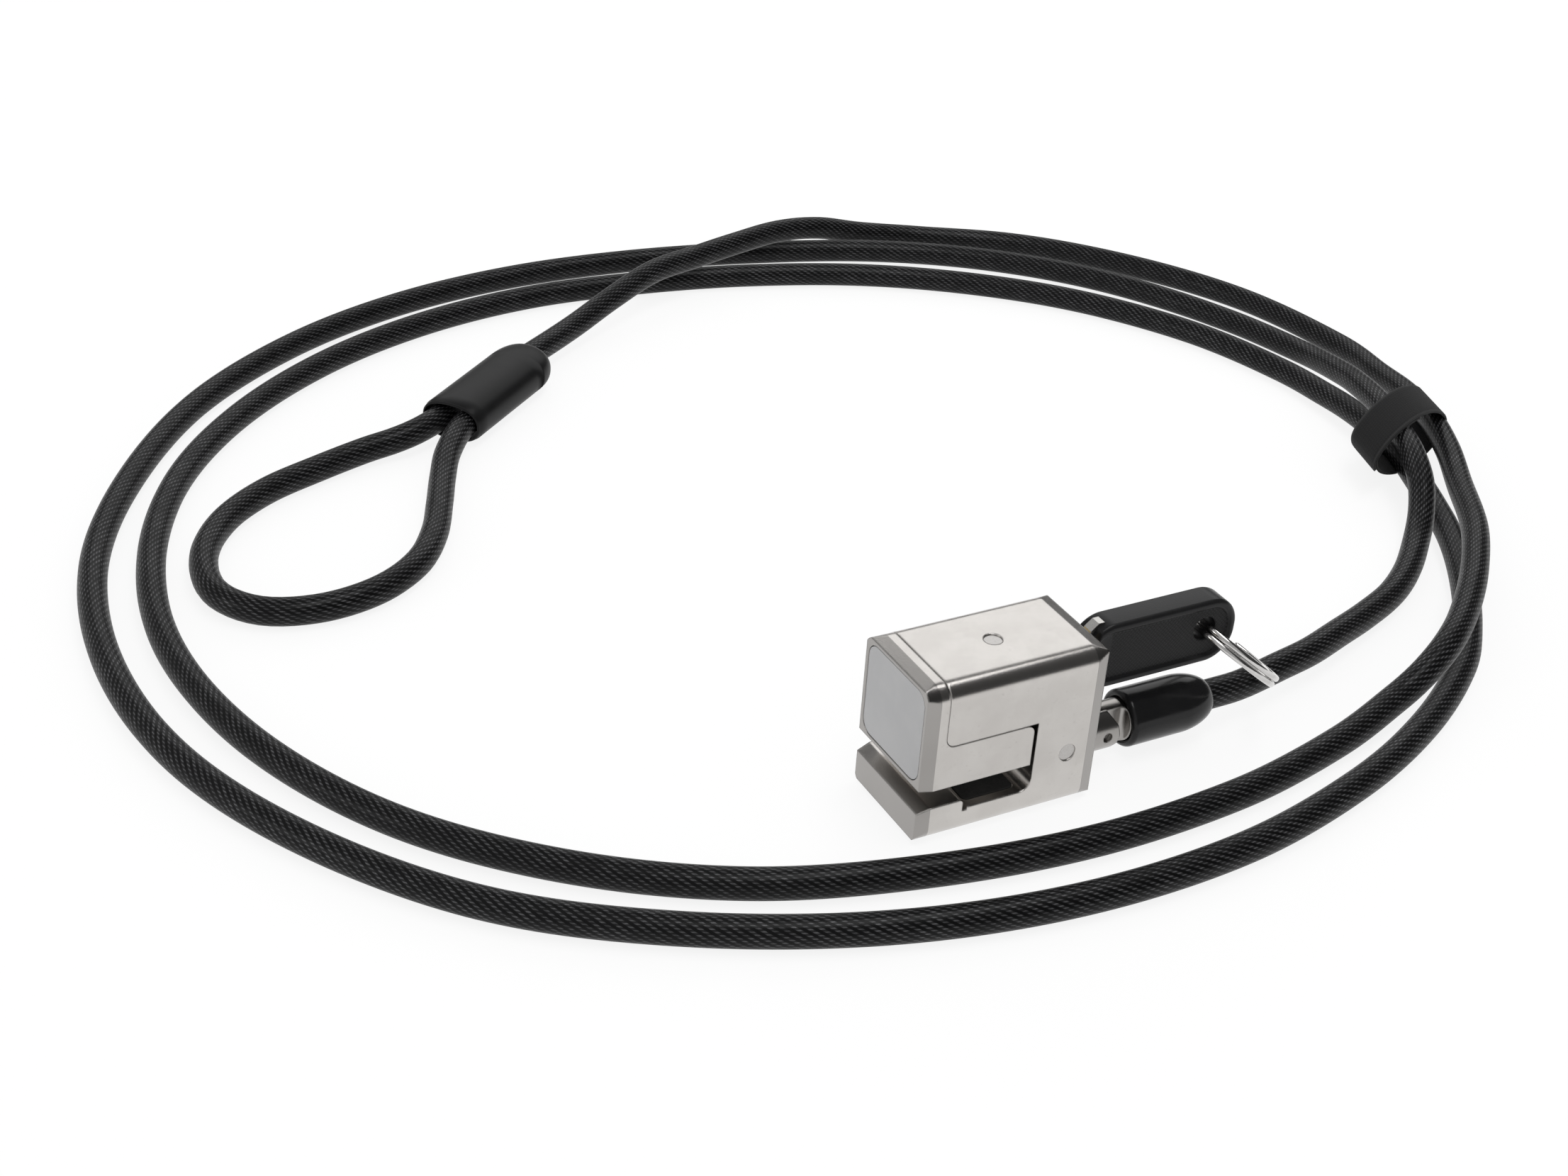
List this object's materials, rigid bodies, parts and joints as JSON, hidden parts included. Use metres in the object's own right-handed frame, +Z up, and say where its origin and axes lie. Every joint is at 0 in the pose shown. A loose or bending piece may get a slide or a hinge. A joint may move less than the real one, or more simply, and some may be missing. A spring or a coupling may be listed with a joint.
{
  "type": "laptop cable lock",
  "caption": "Clamping lock head with a key in its cylinder, on a swivel at the end of a long jacketed steel cable that lies coiled under a hook-and-loop strap and ends in a crimped eye.",
  "frame": {"origin": "centre of the lock head's flat base, on the surface that the lock lies on", "axes": "+X along the head from its nose to its swivel, +Y across the head towards the coil's middle, +Z up"},
  "size_m": [0.2431, 0.2082, 0.0242],
  "materials": {
    "satin_nickel": "satin nickel plate over a fine even grain",
    "pin_steel": "plain ground steel",
    "lock_brass": "machined",
    "key_steel": "nickel plated",
    "ring_wire": "bright nickel-plated spring wire",
    "ferrule_aluminium": "plain, pressed",
    "badge_grey": "matte grey",
    "pad_rubber": "matte",
    "boot_black": "glossy soft vinyl",
    "cable_jacket": "clear smoked jacket over twisted steel wire",
    "strap_fabric": "hook-and-loop tape, matte",
    "bow_black": "moulded, with a crosshatched side panel"
  },
  "bodies": {
    "tether": {"cable": "cable_jacket", "crimp_ferrule": "ferrule_aluminium", "crimp_sleeve": "boot_black", "strap": "strap_fabric", "boot": "boot_black", "cable_tongue": "satin_nickel"},
    "swivel": {"swivel_stud": "satin_nickel", "clevis_pin": "pin_steel"},
    "head": {"lock_body": "satin_nickel", "jaw_pad": "pad_rubber", "slide_pin": "pin_steel", "swivel_pin": "pin_steel", "cylinder_housing": "lock_brass"},
    "jaw": {"slider": "satin_nickel", "badge_plate": "badge_grey"},
    "bolt": {"lock_bolt": "pin_steel"},
    "plug": {"cylinder_plug": "lock_brass", "plug_clip": "pin_steel", "wafer_tumblers": "lock_brass", "tumbler_springs": "pin_steel"},
    "key": {"key_blade": "key_steel", "key_bow": "bow_black"},
    "ring": {"split_ring": "ring_wire"}
  },
  "joints": [
    {"name": "cable_pivot", "type": "hinge", "parent": "tether", "child": "swivel", "pos_m": [0.0195, 0, 0.0052], "axis": [0, 1, 0], "range_deg": [-70, 0]},
    {"name": "swivel_turn", "type": "hinge", "parent": "swivel", "child": "head", "pos_m": [0.01, 0, 0.0052], "axis": [1, 0, 0], "range_deg": [-10, 55]},
    {"name": "slider_slide", "type": "slide", "parent": "head", "child": "jaw", "axis": [-1, 0, 0], "range_m": [0, 0.007]},
    {"name": "plug_turn", "type": "hinge", "parent": "head", "child": "plug", "pos_m": [0.01, 0, 0.0182], "axis": [1, 0, 0], "range_deg": [-90, 0]},
    {"name": "bolt_slide", "type": "slide", "parent": "head", "child": "bolt", "axis": [0, 0, 1], "range_m": [-0.00184, 0]},
    {"name": "key_slide", "type": "slide", "parent": "plug", "child": "key", "axis": [1, 0, 0], "range_m": [0, 0.022]},
    {"name": "ring_swing", "type": "hinge", "parent": "key", "child": "ring", "pos_m": [0.0348, 0, 0.0185], "axis": [0, -1, 0], "range_deg": [0, 100]}
  ],
  "couplings": [
    {"joint": "plug_turn", "follows": "bolt_slide", "rad_per_m": 854.4}
  ]
}
